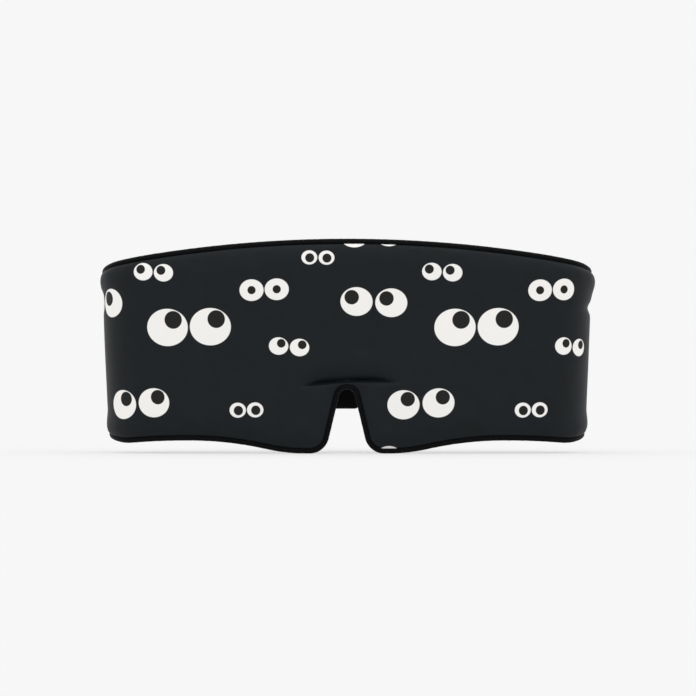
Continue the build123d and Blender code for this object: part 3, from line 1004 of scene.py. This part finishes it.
hooks_low, hooks_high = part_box("hook_tape")
hook_out = tab_out - TAB_HALF  # distance out to the tape's back, where it is sewn to the tab
hook_mid = hook_out - HOOK_BASE / 2
hook_edges = (hooks_low.x, hooks_high.x, hooks_low.z, hooks_high.z)
hook_grid = strap_grid(*hook_edges, HOOK_CORNER, 40, 30, free_root=True)
hook_half = edge_profile(hook_grid[2], HOOK_RIM, HOOK_BASE / 2, HOOK_ROLL)
hook_nylon = woven_tape("hook_nylon", (0.0125, 0.0125, 0.0135, 1), 0.0005)
hook_faces = (hook_mid + hook_half, hook_mid - hook_half)
hook_base = strap_layer("hook_tape_base", hook_grid, *hook_faces, hook_nylon)

hook_x, hook_z = spots_over(hooks_low, hooks_high, HOOK_MARGINS, HOOK_PITCH)
hook_x = hook_x + (np.arange(hook_x.shape[1]) % 2)[None] * HOOK_PITCH / 4
from_side = (hooks_high.z - hooks_low.z) / 2 - np.abs(hook_z - (hooks_low.z + hooks_high.z) / 2)
into_corner = np.hypot(*(np.maximum(HOOK_CORNER - gap, 0) for gap in (hook_x - hooks_low.x, from_side)))
hook_spots = over_band(hook_x, hook_z, hook_out - HOOK_BASE)[into_corner < HOOK_CORNER - HOOK_BARE]
hook_sizes = {"Height": HOOK_TALL, "Width": HOOK_WIDE, "Thread": HOOK_THREAD}
hooks = grown("hook_tape_hooks", repeat_tree("hooks", HOOK_CURL, 5), hook_spots, [], hook_nylon, hook_sizes)
for piece in (hook_base, hooks):
    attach(piece, "closure_tab")
    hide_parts("hook_tape")

# ---- Loop tape ----
# Soft brushed nylon tape sewn to the outside of the right band. Its pile is thousands of fine open loops,
# whose ends and handles are given in the same way as the hooks'.

LOOP_BASE, LOOP_TALL = 0.00045, 0.00062  # thickness of the tape, and height of the pile on it
LOOP_WIDE, LOOP_THREAD = 0.0008, 0.00007
LOOP_SWAY = 1.4  # how far each loop is turned at random, in radians from end to end
LOOP_PITCH = 0.0013
LOOP_STRAY = (0.0004, 0.0017)  # how far the loops stray from their rows, and the spacing of that
LOOP_CORNER = 0.0015
LOOP_RIM, LOOP_ROLL = 0.4, 0.0006  # share of the thickness at the tape's edge, and how far in it is full
LOOP_MARGINS = (0.0024, 0.002)
LOOP_BEND = {
    "Start": (-0.3, -0.15),
    "Start Handle": (-0.9, 1.4),
    "End Handle": (0.9, 1.4),
    "End": (0.3, -0.15),
}


def s_behind(side, x):
    """Distance round one side at those places across the back."""
    table = sides[side]
    behind = table["s"] > extreme[side]
    return np.interp(-side * x, -table["x"][behind], table["s"][behind])


def band_face(x, z):
    """Place and depth of the right band's printed face behind the head."""
    s = s_behind(-1, x)
    return s, outside_depth(-1, s, z, seam_away(-1, s, z))


def laid_layer(name, side, s, z, near, far, finish):
    """Closed layer on one side of the mask between two depths, whose faces look out and towards the head."""
    grids = []
    for depth, outward in ((near, 1), (far, -1)):
        points = place(side, s, z, depth)
        grids.append((points, grid_normals(points) * outward))
    flat = np.stack([side * s.ravel(), z.ravel()], axis=1)
    return closed_layer(name, *grids, flat, False, finish)


loops_low, loops_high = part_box("loop_tape")
loop_edges = (loops_low.x, loops_high.x, loops_low.z, loops_high.z)
loop_x, loop_z, loop_away = strap_grid(*loop_edges, LOOP_CORNER, 60, 34, free_root=True)
loop_s, loop_depth = band_face(loop_x, loop_z)
loop_back = loop_depth - SLIP
loop_face = loop_back - LOOP_BASE * edge_profile(loop_away, LOOP_RIM, 1.0, LOOP_ROLL)
loop_nylon = woven_tape("loop_nylon", (0.0125, 0.0125, 0.0140, 1), 0.0006)
loop_base = laid_layer("loop_tape_base", -1, loop_s, loop_z, loop_face, loop_back, loop_nylon)

pile_x, pile_z = spots_over(loops_low, loops_high, LOOP_MARGINS, LOOP_PITCH)
pile_x = pile_x + lumps(pile_x, pile_z, LOOP_STRAY, 8.0)
pile_z = pile_z + lumps(pile_x, pile_z, LOOP_STRAY, 9.0)
pile_s, pile_depth = band_face(pile_x, pile_z)
pile_spots = place(-1, pile_s, pile_z, pile_depth - SLIP - LOOP_BASE)
loop_sizes = {"Height": LOOP_TALL, "Width": LOOP_WIDE, "Thread": LOOP_THREAD, "Sway": LOOP_SWAY}
pile = grown("loop_tape_pile", repeat_tree("loops", LOOP_BEND, 6), pile_spots, [], loop_nylon, loop_sizes)
for piece in (loop_base, pile):
    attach(piece, "right_band")
    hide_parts("loop_tape")

# ---- Care label ----
# Blank satin ribbon, turned under at both short ends and sewn flat to the left band's lining. Between the two
# seams it stands a little proud.

LABEL = 0.00022  # its thickness
LABEL_BOW = 0.0005
label_low, label_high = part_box("care_label")
label_x = np.linspace(label_high.x, label_low.x, 40)
label_z = np.linspace(label_low.z, label_high.z, 24)
label_s, label_z = np.meshgrid(s_behind(1, label_x), label_z, indexing="ij")
along = (label_s - label_s[0, 0]) / (label_s[-1, 0] - label_s[0, 0])
label_back = inside_depth(1, label_s, label_z, seam_away(1, label_s, label_z)) + SLIP
label_back = label_back + LABEL_BOW * np.sin(math.pi * along)
label_face = label_back + LABEL
ribbon = satin("label_ribbon", (0.0100, 0.0100, 0.0110, 1), 0.0004)
label = laid_layer("care_label_ribbon", 1, label_s, label_z, label_back, label_face, ribbon)
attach(label, "left_band")
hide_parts("care_label")

# ---- Stitches ----
# Lockstitch in a fine black thread: round the tab, through the tab where the hook tape is sewn on, round the
# loop tape, and across both ends of the label.

STITCH_SIZES = {"Pitch": 0.0026, "Length": 0.0021, "Thread": 0.00016}
TOPSTITCH = 0.0025  # how far in from the tab's edge it is sewn
TAB_STITCH_END = -0.003  # x where that stitching stops short of the root
TAPE_STITCH = 0.0012  # how far in from their edges the tapes are sewn
THREAD_SUNK = 0.00006  # how deep the thread lies in the cloth


def stitch_tree():
    """Geometry Nodes tree: one thread stitch after another along each line it is given."""
    tree = bpy.data.node_groups.new("stitches", "GeometryNodeTree")
    face = tree.interface
    face.new_socket("Geometry", in_out="INPUT", socket_type="NodeSocketGeometry")
    for label in STITCH_SIZES:
        face.new_socket(label, in_out="INPUT", socket_type="NodeSocketFloat")
    face.new_socket("Finish", in_out="INPUT", socket_type="NodeSocketMaterial")
    face.new_socket("Geometry", in_out="OUTPUT", socket_type="NodeSocketGeometry")
    nodes, links = tree.nodes, tree.links
    given, result = nodes.new("NodeGroupInput").outputs, nodes.new("NodeGroupOutput")
    line = nodes.new("GeometryNodeMeshToCurve")
    links.new(given["Geometry"], line.inputs["Mesh"])
    steps = nodes.new("GeometryNodeResampleCurve")
    steps.mode = "LENGTH"
    links.new(line.outputs["Curve"], steps.inputs["Curve"])
    links.new(given["Pitch"], steps.inputs["Length"])
    heading = nodes.new("FunctionNodeAlignRotationToVector")
    heading.axis = "X"
    links.new(nodes.new("GeometryNodeInputTangent").outputs[0], heading.inputs["Vector"])
    bead = nodes.new("GeometryNodeMeshIcoSphere")
    bead.inputs["Radius"].default_value = 1.0
    bead.inputs["Subdivisions"].default_value = 2
    size = nodes.new("ShaderNodeCombineXYZ")
    links.new(math_node(nodes, links, "MULTIPLY", given["Length"], 0.5), size.inputs["X"])
    links.new(given["Thread"], size.inputs["Y"])
    links.new(given["Thread"], size.inputs["Z"])
    place_all = nodes.new("GeometryNodeInstanceOnPoints")
    links.new(steps.outputs["Curve"], place_all.inputs["Points"])
    links.new(bead.outputs["Mesh"], place_all.inputs["Instance"])
    links.new(heading.outputs["Rotation"], place_all.inputs["Rotation"])
    links.new(size.outputs[0], place_all.inputs["Scale"])
    real = nodes.new("GeometryNodeRealizeInstances")
    links.new(place_all.outputs["Instances"], real.inputs["Geometry"])
    dressed = nodes.new("GeometryNodeSetMaterial")
    links.new(real.outputs["Geometry"], dressed.inputs["Geometry"])
    links.new(given["Finish"], dressed.inputs["Material"])
    links.new(dressed.outputs["Geometry"], result.inputs["Geometry"])
    return tree


def stitched(name, lines):
    """Stitches along lines of points."""
    points = np.concatenate(lines)
    starts = np.cumsum([0] + [len(line) for line in lines])
    edges = [(k, k + 1) for a, b in zip(starts, starts[1:]) for k in range(a, b - 1)]
    piece = grown(name, stitches, points, edges, thread, STITCH_SIZES)
    return piece


def round_strap(low, high, inset, corner, root):
    """Line a little way in from a strap's edge: along its foot from root to tip, round the tip and back."""
    radius = max(corner - inset, 0.0002)
    ends = [(low.x + inset + radius, z) for z in (low.z + inset + radius, high.z - inset - radius)]
    foot = [(x, low.z + inset) for x in np.linspace(root, ends[0][0], 24)]
    top = [(x, high.z - inset) for x in np.linspace(ends[0][0], root, 24)]
    return np.concatenate([foot, arc(ends[0], radius, 270, 180, 12), arc(ends[1], radius, 180, 90, 12), top])


def round_tape(low, high, corner):
    """Closed line where a tape is sewn down on all four sides, x and z."""
    line = round_strap(low, high, TAPE_STITCH, corner, high.x - TAPE_STITCH)
    return np.concatenate([line, line[:1]]).T


stitches = stitch_tree()
thread = satin("thread", (0.0100, 0.0100, 0.0110, 1), 0.0001)

line_x, line_z = round_strap(tab_low, tab_high, TOPSTITCH, TAB_CORNER, TAB_STITCH_END).T
thread_out = (tab_middle(line_x) + turn * (TAB_HALF + THREAD_SUNK) for turn in (1, -1))
tab_lines = [over_band(line_x, line_z, out) for out in thread_out]
tab_stitches = stitched("stitches_tab_edge", tab_lines)
bend_with_tab(tab_stitches)

line_x, line_z = round_tape(hooks_low, hooks_high, HOOK_CORNER)
thread_out = (tab_out + TAB_HALF + THREAD_SUNK, hook_out - HOOK_BASE - THREAD_SUNK)
hook_lines = [over_band(line_x, line_z, out) for out in thread_out]
hook_stitches = stitched("stitches_hook_tape", hook_lines)
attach(hook_stitches, "closure_tab")

line_x, line_z = round_tape(loops_low, loops_high, LOOP_CORNER)
line_s, line_depth = band_face(line_x, line_z)
loop_lines = [place(-1, line_s, line_z, line_depth - SLIP - LOOP_BASE - THREAD_SUNK)]
loop_stitches = stitched("stitches_loop_tape", loop_lines)
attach(loop_stitches, "right_band")

label_places = place(1, label_s, label_z, label_face + THREAD_SUNK)
label_stitches = stitched("stitches_care_label", [label_places[k, 2:-2] for k in (1, -2)])
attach(label_stitches, "left_band")

# ---- Stage and light ----
# A pale seamless floor under an even white sky that is brighter overhead. The floor gives off part of its own
# light, so that it is as pale as the sky where they meet.

SKY = 0.93  # brightness at the horizon
OVERHEAD = 1.9  # how much brighter the sky is straight up
RISE_FROM = 0.15  # how far up it starts to brighten, as a share of straight up
FLOOR = 60.0  # half its width
FLOOR_PAINT, FLOOR_GLOW = 0.28, 0.528
floor_finish = bpy.data.materials.new("pale_floor")
floor_finish.use_nodes = True
paint = floor_finish.node_tree.nodes["Principled BSDF"]
paint.inputs["Base Color"].default_value = (FLOOR_PAINT, FLOOR_PAINT, FLOOR_PAINT, 1)
paint.inputs["Roughness"].default_value = 1.0
paint.inputs["Specular IOR Level"].default_value = 0.0
paint.inputs["Emission Color"].default_value = (1, 1, 1, 1)
paint.inputs["Emission Strength"].default_value = FLOOR_GLOW
floor_mesh = bpy.data.meshes.new("floor")
corners = [(-FLOOR, -FLOOR, 0), (FLOOR, -FLOOR, 0), (FLOOR, FLOOR, 0), (-FLOOR, FLOOR, 0)]
floor_mesh.from_pydata(corners, [], [(0, 1, 2, 3)])
floor_mesh.materials.append(floor_finish)
floor = bpy.data.objects.new("floor", floor_mesh)
bpy.context.scene.collection.objects.link(floor)

world = bpy.data.worlds.new("white_sky")
world.use_nodes = True
sky_nodes, sky_links = world.node_tree.nodes, world.node_tree.links
sky_nodes["Background"].inputs["Color"].default_value = (1, 1, 1, 1)
direction = sky_nodes.new("ShaderNodeTexCoord")
upward = sky_nodes.new("ShaderNodeSeparateXYZ")
sky_links.new(direction.outputs["Generated"], upward.inputs[0])
glow = sky_nodes.new("ShaderNodeMapRange")
glow.inputs["From Min"].default_value, glow.inputs["From Max"].default_value = RISE_FROM, 1.0
glow.inputs["To Min"].default_value, glow.inputs["To Max"].default_value = SKY, SKY * OVERHEAD
sky_links.new(upward.outputs["Z"], glow.inputs["Value"])
sky_links.new(glow.outputs[0], sky_nodes["Background"].inputs["Strength"])
bpy.context.scene.world = world

# ---- Camera ----
# A long lens, level with the middle of the mask and straight in front of it.

LENS, SENSOR = 300.0, 36.0
MASK_SHARE = 0.70762  # share of the picture's width that the mask takes
AIM_X, AIM_Z = 0.0005, 0.0509
camera = bpy.data.objects.new("camera", bpy.data.cameras.new("camera"))
camera.data.lens = LENS
camera.data.sensor_width = SENSOR
camera_away = LENS / SENSOR * 2 * half_wide / MASK_SHARE
camera.location = (AIM_X, -camera_away, AIM_Z)
camera.rotation_euler = (math.pi / 2, 0, 0)
camera.data.clip_end = 100
bpy.context.scene.collection.objects.link(camera)
bpy.context.scene.camera = camera
bpy.context.scene.view_settings.view_transform = "Standard"
